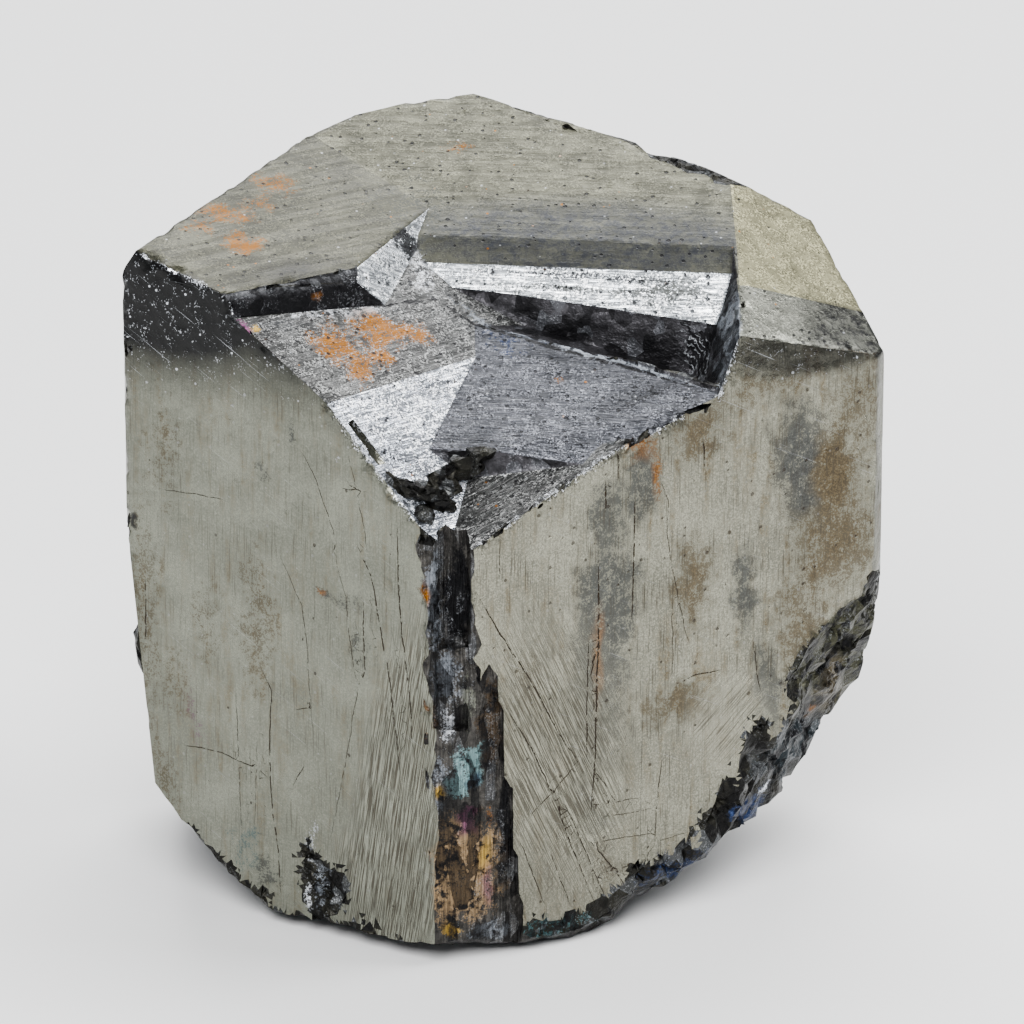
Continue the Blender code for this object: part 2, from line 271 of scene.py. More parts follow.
shape = bmesh.new()
shape.from_mesh(solid.data)
bmesh.ops.remove_doubles(shape, verts=shape.verts, dist=SAME_PLACE)
name_finishes(shape)
outer_edges, brink = sharp_edges(shape)
refine(shape)
break_brinks(shape, brink)
work_surface(shape, outer_edges)
crystal_mesh = bpy.data.meshes.new("crystal")
shape.to_mesh(crystal_mesh)
shape.free()
crystal_mesh.shade_smooth()
crystal_mesh.set_sharp_from_angle(angle=SHARP)
for face in crystal_mesh.polygons:
    face.use_smooth = FINISHES[face.material_index] != "fracture"
crystal = bpy.data.objects.new("crystal", crystal_mesh)
bpy.context.scene.collection.objects.link(crystal)
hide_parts("columbite_crystal")
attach(crystal, "root")

# ---------------------------------------------------------------------------------------------
# The left prism face: the smoothest one. Grown flat, with bronze tarnish in upright streaks, a
# painted dark reflection over its top, hair cracks, and a combed strip beside the broken corner.
# ---------------------------------------------------------------------------------------------
points = np.empty(len(crystal_mesh.vertices) * 3)
crystal_mesh.vertices.foreach_get("co", points)
points = points.reshape(-1, 3) / MM
MARKS = {
    "stain": np.zeros((len(points), 4)),  # the colour of a stain, a painted highlight or painted shade, and how strong it is
    "crack_and_shadow_side": np.zeros(len(points)),  # how far to the side of a crack or of a painted shadow line, in mm
    "crack_and_shadow_width": np.zeros(len(points)),
    "painted_shade": np.zeros(len(points)),  # painted shade: a soft darkening for dark reflections and shade
    "comb": np.zeros(len(points)),  # where fine lines comb the face, and where they cross it the other way
    "cross": np.zeros(len(points)),
}


def points_of(*finishes):
    """The numbers of the mesh points on faces of these finishes."""
    found = set()
    wanted = {FINISHES.index(name) for name in finishes}
    for face in crystal_mesh.polygons:
        if face.material_index in wanted:
            found.update(face.vertices)
    return np.array(sorted(found))


def blot(flat, centre, size, soft=0.6, tilt=0.0):
    """How far each point is inside a soft oval: 1 in its middle and 0 from its rim on."""
    turn = math.radians(tilt)
    off = flat - np.array(centre)
    along = off[:, 0] * math.cos(turn) + off[:, 1] * math.sin(turn)
    aside = off[:, 1] * math.cos(turn) - off[:, 0] * math.sin(turn)
    return np.clip((1 - np.hypot(along / size[0], aside / size[1])) / soft, 0, 1)


def wander(flat):
    """A crooked offset for each point, about 1 mm at most."""
    seeds = Vector((0, 0, 1.5)), Vector((0, 0, 6.5))
    offsets = []
    for across, along in flat:
        here = Vector((across, along, 0))
        offsets.append(
            [0.8 * noise.noise(here * 0.8 + seed) + 0.5 * noise.noise(here * 2.1 + seed) for seed in seeds]
        )
    return np.array(offsets)


def stain(chosen, flat, stains):
    """Lays stains, painted highlights and painted shade on a face, each over the ones before it: colour,
    strength, and then its oval as in blot.
    """
    crooked = wander(flat)
    for colour, strength, centre, size, *more in stains:
        bent = flat + crooked * min(1.0, 0.8 * min(size))
        amount = strength * blot(bent, centre, size, *more)[:, None]
        under = MARKS["stain"][chosen]
        over = 1 - (1 - under[:, 3:]) * (1 - amount)
        share = amount / np.maximum(over, 1e-6)
        colours = under[:, :3] * (1 - share) + np.array(colour[:3]) * share
        MARKS["stain"][chosen] = np.hstack([colours, over])


def crack_and_shadow_line(chosen, flat, cracks_and_shadow_lines):
    """Draws cracks, and painted shadow lines under small steps, on a face, widest in their middle: each is its
    width in mm, and the places on its way.
    """
    nearest = np.full(len(chosen), 9.0)
    side, width = np.full(len(chosen), 9.0), np.zeros(len(chosen))
    bent = flat + 0.07 * wander(flat * 1.7)
    for wide, *places in cracks_and_shadow_lines:
        places = [np.array(place, float) for place in places]
        whole = sum(math.hypot(*(end - start)) for start, end in zip(places, places[1:]))
        gone = 0.0
        for start, end in zip(places, places[1:]):
            run = end - start
            length = math.hypot(*run)
            off = bent - start
            share = np.clip(off @ run / length**2, 0, 1)
            away = np.hypot(*(off - share[:, None] * run).T)
            closer = away < nearest
            nearest[closer] = away[closer]
            turned = np.where(off[:, 0] * run[1] < off[:, 1] * run[0], -1.0, 1.0)
            side[closer] = (turned * away)[closer]
            at = (gone + share * length) / whole
            held = np.clip(2.2 - away / 0.35, 0, 1) * np.sqrt(np.clip(1 - np.abs(2 * at - 1) ** 3, 0, 1))
            width[closer] = (0.55 * wide * held)[closer]
            gone += length
    MARKS["crack_and_shadow_side"][chosen] = side
    MARKS["crack_and_shadow_width"][chosen] = width


def comb(chosen, flat, mark, ovals):
    """Marks where fine lines comb a face, or where painted shade darkens it. Each mark is its strength and its
    oval.
    """
    for strength, *oval in ovals:
        MARKS[mark][chosen] = np.maximum(MARKS[mark][chosen], strength * blot(flat, *oval))


class Signal:
    """A socket of a shader node. Arithmetic on it adds Math nodes, and `node` adds any other node."""

    def __init__(self, tree, socket=None):
        self.tree, self.socket = tree, socket

    def node(self, kind, settings=None, inputs=None, out=0):
        made = self.tree.nodes.new(kind)
        for name, value in (settings or {}).items():
            setattr(made, name, value)
        for name, value in (inputs or {}).items():
            if isinstance(value, Signal):
                self.tree.links.new(value.socket, made.inputs[name])
            else:
                made.inputs[name].default_value = value
        return Signal(self.tree, made.outputs[out])

    def math(self, operation, *values):
        return self.node("ShaderNodeMath", {"operation": operation}, dict(enumerate(values)))

    def __add__(self, other):
        return self.math("ADD", self, other)

    __radd__ = __add__

    def __sub__(self, other):
        return self.math("SUBTRACT", self, other)

    def __rsub__(self, other):
        return self.math("SUBTRACT", other, self)

    def __mul__(self, other):
        return self.math("MULTIPLY", self, other)

    __rmul__ = __mul__

    def __truediv__(self, other):
        return self.math("DIVIDE", self, other)

    def __abs__(self):
        return self.math("ABSOLUTE", self)

    def either(self, other):
        return self.math("MAXIMUM", self, other)

    def rise(self, low, high):
        """0 below low and 1 above high, smooth between; the other way round where low is the larger."""
        sockets = {"Value": self, "From Min": low, "From Max": high}
        return self.node("ShaderNodeMapRange", {"interpolation_type": "SMOOTHSTEP"}, sockets)

    def paint(self, under, over):
        """Colour: under where this mask is 0, and over where it is 1."""
        settings = {"data_type": "RGBA", "clamp_factor": True}
        return self.node("ShaderNodeMix", settings, {0: self, 6: under, 7: over}, out=2)

    def along(self, way):
        """How far this place lies along a direction."""
        sockets = {0: self, 1: way}
        return self.node("ShaderNodeVectorMath", {"operation": "DOT_PRODUCT"}, sockets, out="Value")

    def place(self, x, y, z=0.0):
        return self.node("ShaderNodeCombineXYZ", None, {"X": x, "Y": y, "Z": z})

    def cloud(self, size, detail=2.0, rough=0.5):
        """Soft noise from 0 to 1 with patches of about this size."""
        sockets = {"Vector": self, "Scale": 1 / size, "Detail": detail, "Roughness": rough}
        return self.node("ShaderNodeTexNoise", None, sockets)

    def cells(self, size, out="Distance"):
        """Cells of about this size, each with a colour of its own."""
        return self.node("ShaderNodeTexVoronoi", {"feature": "F1"}, {"Vector": self, "Scale": 1 / size}, out)

    def mark(self, name, out="Fac"):
        """A mark that the mesh carries."""
        return self.node("ShaderNodeAttribute", {"attribute_name": name}, None, out)


class Finish:
    """A material in the making: its places in mm, and the marks that the mesh carries."""

    def __init__(self, name, bearing, pitch):
        self.material = bpy.data.materials.new(name)
        self.material.use_nodes = True
        self.shader = self.material.node_tree.nodes["Principled BSDF"]
        start = Signal(self.material.node_tree)
        here = start.node("ShaderNodeTexCoord", out="Object")
        self.here = here.node("ShaderNodeVectorMath", {"operation": "SCALE"}, {0: here, "Scale": 1 / MM})
        normal = outward(bearing, pitch)
        level = Vector((-normal.y, normal.x, 0)).normalized()
        self.level, self.up = self.here.along(level), self.here.along(normal.cross(level))
        self.worn_glint = start.mark("worn_glint")
        self.ragged = self.here.cloud(0.5, 3.0, 0.75).rise(0.3, 0.7)
        self.grit = self.here.cloud(0.11, 2.0, 0.75).rise(0.33, 0.67)
        wide = start.mark("crack_and_shadow_width") * self.ragged.rise(0.1, 0.5)
        wobble = (self.ragged - 0.5) * 0.04
        self.crack_and_shadow_line = abs(start.mark("crack_and_shadow_side") + wobble).rise(wide, wide * 0.4) * wide.rise(0.0, 0.015)
        self.stain, stained = start.mark("stain", "Color"), start.mark("stain", "Alpha")
        patchy = (stained * 1.4 + (self.ragged - 0.5) * 1.1 + (self.grit - 0.5) * 1.2).rise(0.5, 0.78)
        self.stained = patchy * (stained * 0.5 + 0.5) * stained.rise(0.0, 0.12)

    def streaks(self, width, length, low, high, lean=0.0, seed=0.0, crosswise=False):
        """Streaks up the face, or level where crosswise: 1 on a streak and 0 between them."""
        turn = math.radians(lean)
        across = self.level * math.cos(turn) - self.up * math.sin(turn)
        along = self.level * math.sin(turn) + self.up * math.cos(turn)
        if crosswise:
            across, along = along, across
        return across.place(across / width, along / length, seed).cloud(1.0, 2.0, 0.6).rise(low, high)

    def specks(self, size, *kinds):
        """Dots, in cells of this size. Each kind is the dots' radius and the share of the cells with one."""
        sockets = {"Vector": self.here, "Scale": 1 / size}
        near = self.here.node("ShaderNodeTexVoronoi", {"feature": "F1"}, sockets)
        chance = Signal(near.tree, near.socket.node.outputs["Color"])
        made = []
        for (radius, share), axis in zip(kinds, ((1, 0, 0), (0, 1, 0), (0, 0, 1))):
            held = chance.along(axis).rise(share, share - 0.01)
            reach = (chance.along((0.5, 0.3, 0.4)) + self.ragged * 0.6) * (radius / size)
            made.append(near.rise(reach, reach * 0.6) * held)
        return made

    def worn_rim_glints(self, colour, strength):
        """The colour with painted highlights on its worn edges: bright grains for glints, and dark grains of
        painted shade between them.
        """
        patchy = self.worn_glint + (self.ragged - 0.5) * 0.6
        painted_shade = (patchy - (self.grit - 0.5) * 0.9).rise(0.75, 1.0) * 0.75 * strength
        bright = (patchy + (self.grit - 0.5) * 0.7).rise(0.97, 1.2) * strength
        return bright.paint(painted_shade.paint(colour, BLACK_AND_SHADE), PEARL)

    def done(self, colour, rough, height, glassy=0.2):
        """Plugs the finish into its shader, with the height in mm, and gives the crystal its material."""
        links = self.material.node_tree.links
        self.shader.inputs["Metallic"].default_value = 0.75
        self.shader.inputs["Specular IOR Level"].default_value = glassy
        bump = colour.node("ShaderNodeBump", None, {"Strength": 1.0, "Distance": MM, "Height": height})
        links.new(colour.socket, self.shader.inputs["Base Color"])
        links.new(rough.socket, self.shader.inputs["Roughness"])
        links.new(bump.socket, self.shader.inputs["Normal"])
        crystal_mesh.materials.append(self.material)


def darker(colour, share):
    """A colour at this share of its strength: lighter where the share is over 1."""
    return (*(part * share for part in colour[:3]), 1)


# The near-black is the crystal's own black in cracks, pits and fibres, and also the colour of painted shade;
# the pale pearl is the colour of dust and scratches, and also of painted highlights and glints.
OLIVE, BRONZE, BLACK_AND_SHADE = (0.155, 0.16, 0.128, 1), (0.085, 0.064, 0.034, 1), (0.008, 0.008, 0.009, 1)
RUST, PEARL, SLATE = (0.21, 0.074, 0.0, 1), (0.72, 0.75, 0.80, 1), (0.056, 0.059, 0.055, 1)
TEAL, VIOLET = (0.045, 0.11, 0.12, 1), (0.16, 0.05, 0.12, 1)
BARK, GRIME = (0.05, 0.033, 0.018, 1), (0.042, 0.036, 0.026, 1)

LEFT_BEARING = -33


def laid_flat(chosen, bearing):
    """Where mesh points are on an upright face: how far across it, and how high, in mm."""
    turn = math.radians(bearing)
    across = points[chosen, 0] * math.cos(turn) + points[chosen, 1] * math.sin(turn)
    return np.stack([across, points[chosen, 2]], 1)


left_points = points_of("left_face")
left_flat = laid_flat(left_points, LEFT_BEARING)
# Places on a face are in mm: across it from the middle of the crystal, and up from the floor.
LEFT_STAINS = (
    (BRONZE, 0.5, (-5.6, 17.7), (1.6, 5.5), 0.9),
    (BRONZE, 0.35, (-9.1, 16.9), (1.2, 3.5), 0.9),
    (BRONZE, 0.3, (-11.2, 13.0), (1.6, 3.0), 0.9),
    (BRONZE, 0.35, (-11.6, 26.0), (1.6, 4.5), 0.9),
    (BRONZE, 0.45, (-13.2, 16.5), (1.2, 9.0), 0.8),
    (BRONZE, 0.5, (-12.0, 7.0), (1.3, 4.0), 0.8, 12),
    (TEAL, 0.3, (-6.6, 4.2), (1.1, 1.9), 0.5),
    (SLATE, 0.6, (-5.3, 2.9), (1.1, 1.6), 0.5),
    (VIOLET, 0.22, (-9.9, 11.2), (0.7, 2.4), 0.8, 12),
    (SLATE, 0.8, (-1.4, 20.0), (0.55, 0.35), 0.4),
    (RUST, 0.7, (-1.5, 20.1), (0.35, 0.25), 0.5),
    (SLATE, 0.5, (0.3, 19.9), (1.4, 0.8), 0.8),
    (SLATE, 0.45, (1.0, 17.4), (0.8, 1.7), 0.8),
    (SLATE, 0.75, (-3.3, 28.7), (0.28, 0.9), 0.5),
    (PEARL, 0.5, (-0.3, 27.8), (0.22, 0.2), 0.5),
    (SLATE, 0.6, (-5.2, 26.3), (0.9, 0.4), 0.6, -35),
    (PEARL, 0.4, (-7.2, 29.5), (0.2, 0.3), 0.5),
    (PEARL, 0.35, (-2.3, 5.4), (0.4, 1.8), 0.9, -4),
    (BLACK_AND_SHADE, 0.9, (-13.8, 21.8), (0.4, 0.6), 0.5),
    (BRONZE, 0.35, (4.3, 6.0), (2.4, 4.0), 0.8),
)
LEFT_CRACKS = (
    (0.10, (-5.4, 14.9), (-4.7, 13.8), (-4.9, 11.4), (-4.9, 8.5), (-4.7, 6.2), (-4.4, 4.5), (-4.3, 1.9)),
    (0.07, (-10.9, 9.3), (-9.2, 9.4), (-8.1, 9.4), (-7.0, 9.2), (-5.8, 9.0), (-5.0, 8.6)),
    (0.09, (1.3, 20.2), (1.3, 17.9), (1.4, 16.2), (0.9, 15.0)),
    (0.10, (0.9, 23.3), (1.9, 21.5), (2.2, 19.7), (2.5, 18.2),
     (2.9, 16.5), (3.1, 14.9), (3.4, 12.6), (3.6, 10.7)),
    (0.10, (3.5, 25.0), (3.6, 20.7), (3.8, 18.5), (4.3, 15.1), (4.4, 12.3)),
    (0.05, (-4.1, 21.7), (-3.4, 20.4), (-2.7, 19.1), (-2.4, 17.2), (-2.2, 13.7), (-2.0, 11.5)),
    (0.05, (-0.8, 23.2), (0.2, 20.0), (0.4, 17.7), (0.9, 15.0), (0.0, 10.2), (-1.0, 5.8)),
    (0.05, (-2.7, 27.9), (-1.8, 26.7), (-1.3, 25.4), (-0.6, 23.8), (-0.4, 22.2)),
    (0.05, (0.4, 28.3), (0.9, 26.4), (1.4, 24.2), (1.6, 22.6)),
    (0.05, (-11.9, 23.9), (-9.3, 24.1), (-7.6, 24.1)),
    (0.05, (-7.1, 13.3), (-7.0, 9.2), (-6.9, 6.9), (-6.8, 4.5)),
    (0.04, (-5.7, 10.7), (-5.9, 7.1), (-6.0, 5.3)),
    (0.06, (-3.1, 13.0), (-2.2, 13.3)),
    (0.06, (-2.6, 9.9), (-3.4, 8.5)),
    (0.06, (0.0, 26.3), (1.5, 26.4)),
    (0.10, (-13.0, 18.6), (-13.1, 14.4)),
)
LEFT_COMBS = ((1.0, (3.6, 9.0), (3.4, 13.5), 0.35, -10), (1.0, (2.6, 4.0), (4.0, 4.6), 0.3))
# Painted dark reflection over the top of the left face, as soft ovals.
LEFT_PAINTED_SHADE = (
    (0.97, (-12.5, 37.5), (13, 8.4), 0.35, -6),
    (0.95, (-5.0, 36.0), (7.5, 5.6), 0.5, -35),
    (0.7, (-0.2, 32.0), (5, 2.6), 0.9, -48),
)
stain(left_points, left_flat, LEFT_STAINS)
crack_and_shadow_line(left_points, left_flat, LEFT_CRACKS)
comb(left_points, left_flat, "comb", LEFT_COMBS)
comb(left_points, left_flat, "painted_shade", LEFT_PAINTED_SHADE)


def prism_face(name, bearing, tone, lean, cross_lean, lined=0.5, spotted=0.1, mottling=0.3):
    """A large prism face: smooth, lined up and down, with bronze tarnish, fine scratches and cracks."""
    face = Finish(name, bearing, 0)
    here, grit, painted_shade = face.here, face.grit, face.here.mark("painted_shade")
    mottled = here.cloud(4.0, 3.0, 0.65).rise(0.3, 0.7)
    tarnish = face.streaks(0.6, 4, 0.45, 0.75, seed=1.7)
    lines = face.streaks(0.075, 2.6, 0.54, 0.66, lean=1, seed=3.1)
    combed = face.streaks(0.055, 2.5, 0.47, 0.56, lean=lean, seed=21.0) * here.mark("comb")
    crossed = face.streaks(0.055, 2.5, 0.5, 0.6, lean=cross_lean, seed=31.0) * here.mark("cross")
    combed = combed.either(crossed)
    scratches = face.streaks(0.05, 6, 0.68, 0.74, lean=-62, seed=5.0)
    pits, dust = face.specks(0.6, (0.13, spotted), (0.085, 0.75))
    colour = mottled.paint(darker(tone, 1.12), darker(tone, 0.85))
    colour = (tarnish * (grit + face.ragged).rise(0.5, 1.3) * (0.3 + mottling * 2)).paint(colour, BRONZE)
    colour = (grit.rise(0.55, 0.95) * mottling).paint(colour, darker(tone, 2.0))
    hollows = (grit + (face.ragged - 0.5) * 0.6).rise(0.45, 0.05)
    colour = (hollows * mottling * 1.3).paint(colour, darker(tone, 0.35))
    speckled = ((grit + face.ragged * 0.7).rise(0.65, 1.2) * 0.5).paint(face.stain, BLACK_AND_SHADE)
    colour = face.stained.paint(colour, speckled)
    colour = (lines * lined * (mottled * 0.6 + 0.4)).paint(colour, GRIME)
    colour = (here.mark("comb").either(here.mark("cross")) * 0.5).paint(colour, darker(tone, 1.6))
    colour = (combed * 0.9).paint(colour, GRIME)
    # Painted shade: where the mesh marks a dark reflection, the face goes near black.
    colour = painted_shade.paint(colour, BLACK_AND_SHADE)
    colour = (scratches * (painted_shade * 0.5 + 0.15)).paint(colour, PEARL)
    colour = ((grit + face.ragged * 0.5).rise(1.25, 1.45) * painted_shade * 0.5).paint(colour, PEARL)
    colour = (dust * (0.06 + painted_shade * 0.7)).paint(colour, PEARL)
    colour = face.crack_and_shadow_line.either(pits * 0.75).paint(colour, darker(BARK, 0.35))
    # Painted highlights and shade grains along the worn edges.
    colour = face.worn_rim_glints(colour, 0.85)
    rough = 0.22 + mottled * 0.14 + combed * 0.08
    height = mottled * 0.08 + face.ragged * 0.01 - combed * 0.03 - face.crack_and_shadow_line * 0.08 - pits * 0.05
    face.done(colour, rough, height)


prism_face("left_face", LEFT_BEARING, darker(OLIVE, 0.96), 9, 0, 0.5, mottling=0.16)

# ---------------------------------------------------------------------------------------------
# The right prism face: more stained than the left, with slate and brown tarnish, a few long
# cracks, and lines that cross each other towards the broken corner.
# ---------------------------------------------------------------------------------------------
RIGHT_BEARING = 30
right_points = points_of("right_face")
right_flat = laid_flat(right_points, RIGHT_BEARING)
RIGHT_STAINS = (
    (BRONZE, 0.8, (12.4, 22.5), (3.4, 6.5), 0.8, 25),
    (SLATE, 0.9, (10.7, 25.4), (2.2, 4.2), 0.5),
    (BRONZE, 0.95, (12.8, 24.6), (1.2, 3.4), 0.7),
    (BRONZE, 0.8, (13.2, 19.6), (2.6, 2.6), 0.8),
    (SLATE, 0.8, (-1.4, 18.6), (2.6, 6.0), 0.45, -6),
    (SLATE, 0.7, (-1.5, 24.6), (1.7, 2.4), 0.5),
    (SLATE, 0.75, (0.9, 26.0), (1.5, 2.5), 0.5),
    (SLATE, 0.6, (-1.8, 12.6), (2.6, 4.0), 0.6),
    (BRONZE, 0.85, (4.4, 27.7), (2.2, 2.2), 0.8),
    (BRONZE, 0.85, (4.2, 19.7), (1.7, 3.4), 0.8),
    (BRONZE, 0.85, (3.3, 12.6), (2.9, 1.6), 0.8),
    (BRONZE, 0.7, (10.9, 15.6), (2.2, 5.4), 0.8),
    (BRONZE, 0.65, (-6.2, 16.0), (1.4, 3.2), 0.8),
    (BRONZE, 0.6, (14.6, 28.0), (2.8, 4.5), 0.8),
    (SLATE, 0.8, (7.3, 18.5), (0.9, 3.2), 0.6),
    (SLATE, 0.8, (8.9, 12.4), (1.0, 3.8), 0.6, 12),
    (SLATE, 0.7, (-2.6, 8.0), (0.9, 2.8), 0.6, 20),
    (BARK, 0.6, (-1.3, 4.4), (1.0, 2.0), 0.7, 20),
    (BRONZE, 0.55, (8.0, 30.0), (6.0, 1.4), 0.8, 10),
    (RUST, 0.8, (0.6, 28.1), (1.3, 1.2), 0.8),
    (RUST, 0.8, (1.8, 26.2), (0.5, 2.0), 0.8),
    (RUST, 0.75, (-1.9, 16.2), (0.4, 3.6), 0.9),
    (SLATE, 0.6, (2.5, 30.2), (5.5, 1.4), 0.7, 28),
)
RIGHT_CRACKS = (
    (0.14, (-1.9, 22.0), (-1.9, 17.4), (-2.0, 14.0), (-2.1, 10.2), (-2.3, 7.3)),
    (0.09, (-2.5, 17.5), (-2.6, 14.1), (-2.6, 10.6)),
    (0.12, (0.3, 25.0), (0.3, 21.6), (0.2, 18.2)),
    (0.13, (-1.5, 26.4), (-1.5, 24.7)),
    (0.06, (1.7, 26.5), (2.4, 24.6), (2.4, 22.6), (2.6, 21.1), (3.0, 19.4), (3.4, 17.6), (3.9, 15.7)),
    (0.06, (2.7, 18.8), (2.8, 15.3), (2.8, 13.9)),
    (0.07, (2.2, 10.2), (2.0, 8.5), (1.8, 6.2), (1.7, 4.7)),
    (0.09, (2.6, 13.8), (4.3, 14.2), (5.8, 14.2)),
    (0.10, (4.6, 27.8), (4.7, 26.0)),
    (0.06, (-8.0, 24.0), (-8.0, 22.0)),
    (0.07, (7.9, 15.5), (8.1, 13.7), (8.4, 12.5)),
    (0.09, (-9.5, 21.7), (-8.0, 18.9), (-6.1, 15.9), (-4.3, 12.4), (-3.1, 10.6)),
    (0.08, (-7.7, 14.8), (-5.8, 11.5), (-4.6, 8.7), (-3.3, 5.2), (-2.0, 2.0)),
    (0.07, (-6.8, 6.8), (-5.2, 2.7)),
    (0.06, (-4.9, 5.8), (-3.6, 2.3)),
    (0.08, (-2.4, 5.9), (-0.1, 2.8)),
    (0.07, (-4.3, 9.2), (-2.4, 4.7), (-1.2, 1.8)),
    (0.08, (-3.0, 11.0), (-3.6, 10.2), (-4.6, 9.3), (-6.1, 8.1)),
    (0.07, (-2.1, 9.9), (-1.4, 8.9), (-0.8, 7.9)),
    (0.05, (-2.3, 7.9), (0.8, 7.7)),
    (0.05, (-1.7, 7.1), (1.7, 6.9)),
    (0.05, (-2.7, 5.7), (1.7, 5.5)),
    (0.05, (-2.4, 3.8), (1.4, 3.9), (2.4, 4.2)),
    (0.04, (1.7, 4.9), (4.0, 5.1)),
    (0.10, (1.3, 4.5), (1.3, 3.1)),
    (0.09, (-0.7, 28.0), (-0.7, 26.3)),
)
stain(right_points, right_flat, RIGHT_STAINS)
crack_and_shadow_line(right_points, right_flat, RIGHT_CRACKS)
RIGHT_CROSSINGS = ((0.8, (6.4, 11.0), (3.6, 3.4), 0.6, 30), (0.5, (-3.5, 5.0), (4.0, 3.5), 0.6))
# Painted dark reflection along the top of the right face.
comb(right_points, right_flat, "painted_shade", ((0.75, (11.5, 31.8), (6.5, 2.0), 0.35, -4),))
comb(right_points, right_flat, "comb", ((0.9, (-4.6, 11.0), (5.6, 11.0), 0.6, 12),))
comb(right_points, right_flat, "cross", RIGHT_CROSSINGS)
prism_face("right_face", RIGHT_BEARING, (0.185, 0.182, 0.142, 1), -25, 48, 0.8, spotted=0.35, mottling=0.34)

# ---------------------------------------------------------------------------------------------
# The termination: two roofs, the shoulder beside them, the bevel under it, the bands and the dark
# ledges. The bands are painted near white as a reflection, and painted shade darkens the lower roof,
# the right of the bevel and patches of the ledges. All grew as thin steps, which leave fine lines, and small
# pits.
# ---------------------------------------------------------------------------------------------
# The steel grey is a stain colour, and also the colour of painted highlights on the ledges and painted glints
# on fractures.
STEEL, GOLD, BLUE = (0.20, 0.22, 0.25, 1), (0.42, 0.26, 0.04, 1), (0.014, 0.026, 0.07, 1)
# Places on the termination are in mm, seen from above: to the right, and to the back.
ROOF_STAINS = (
    (RUST, 0.78, (-15.1, -0.8), (1.6, 1.2), 0.8),
    (RUST, 0.8, (-14.0, -3.7), (1.4, 1.3), 0.8),
    (RUST, 0.6, (-12.5, 2.7), (1.8, 1.6), 0.9),
    (RUST, 0.55, (-16.4, -2.7), (1.1, 0.8), 0.9),
    (RUST, 0.5, (-13.2, 0.5), (1.0, 0.9), 0.9),
    (RUST, 0.5, (-2.6, 7.1), (1.0, 0.5), 0.9),
    (SLATE, 0.35, (-5.0, 2.4), (2.6, 3.6), 0.6),
)
# On the ledges, the pearl strip and the steel strip are painted highlights along small steps, the pearl patch
# near the apex is a painted highlight, and the black strip at the right is painted shade; the rest are stains.
LEDGE_STAINS_AND_LIGHT = (
    (RUST, 0.85, (-8.8, -8.6), (1.7, 1.5), 0.8),
    (RUST, 0.8, (-6.7, -6.6), (2.0, 1.1), 0.8, 20),
    (RUST, 0.75, (-5.1, -5.9), (1.5, 0.7), 0.8, 20),
    (RUST, 0.8, (-7.6, -9.6), (0.9, 1.2), 0.8),
    (RUST, 0.8, (-6.7, -8.3), (1.0, 0.9), 0.8),
    (VIOLET, 1.0, (-14.1, -10.0), (0.6, 0.75), 0.4),
    (GOLD, 0.8, (-13.2, -9.7), (0.5, 0.4), 0.5),
    (PEARL, 0.35, (-10.0, -6.6), (5.0, 0.8), 0.6, 22),
    (PEARL, 0.4, (-4.3, -1.6), (1.0, 2.2), 0.7, -15),
    (BLUE, 0.3, (0.9, -4.6), (2.4, 1.4), 0.8),
    (STEEL, 1.0, (3.8, -5.4), (7.6, 0.42), 0.35, -20.7),
    (BLACK_AND_SHADE, 0.5, (8.0, -8.6), (3.4, 0.5), 0.6, 27),
    (RUST, 0.5, (3.0, -7.6), (0.3, 0.2), 0.6),
)
# Painted shadow lines, drawn as cracks: the dark lines under the small steps of the ledges, just below their
# bright strips.
LEDGE_SHADOW_LINES = (
    (0.35, (-3.4, -3.2), (0.0, -4.4), (3.6, -5.8), (7.0, -7.0), (10.3, -8.3)),
    (0.3, (-9.3, -6.3), (-6.3, -4.7), (-3.6, -3.1)),
    (0.12, (-13.0, -8.4), (-9.3, -6.3)),
)
roof_points, ledge_points = points_of("roof", "left_roof"), points_of("ledge", "sill", "front_band")
stain(roof_points, points[roof_points, :2], ROOF_STAINS)
stain(ledge_points, points[ledge_points, :2], LEDGE_STAINS_AND_LIGHT)
crack_and_shadow_line(ledge_points, points[ledge_points, :2], LEDGE_SHADOW_LINES)
BAND_STAINS = (
    (BLACK_AND_SHADE, 0.95, (-5.1, -0.6), (1.1, 1.5), 0.3, 55),
    (BLACK_AND_SHADE, 0.6, (-6.4, -3.4), (0.5, 0.3), 0.5),
    (BLACK_AND_SHADE, 0.8, (5.2, -2.32), (8.5, 0.13), 0.6, -6.8),
    (SLATE, 0.8, (5.2, -2.72), (8.5, 0.16), 0.6, -6.8),
    (BLACK_AND_SHADE, 0.6, (4.0, -3.35), (7.0, 0.12), 0.6, -6.8),
    (SLATE, 0.7, (9.0, -3.2), (3.5, 0.7), 0.7, -6.8),
)
band_points = points_of("band")
stain(band_points, points[band_points, :2], BAND_STAINS)


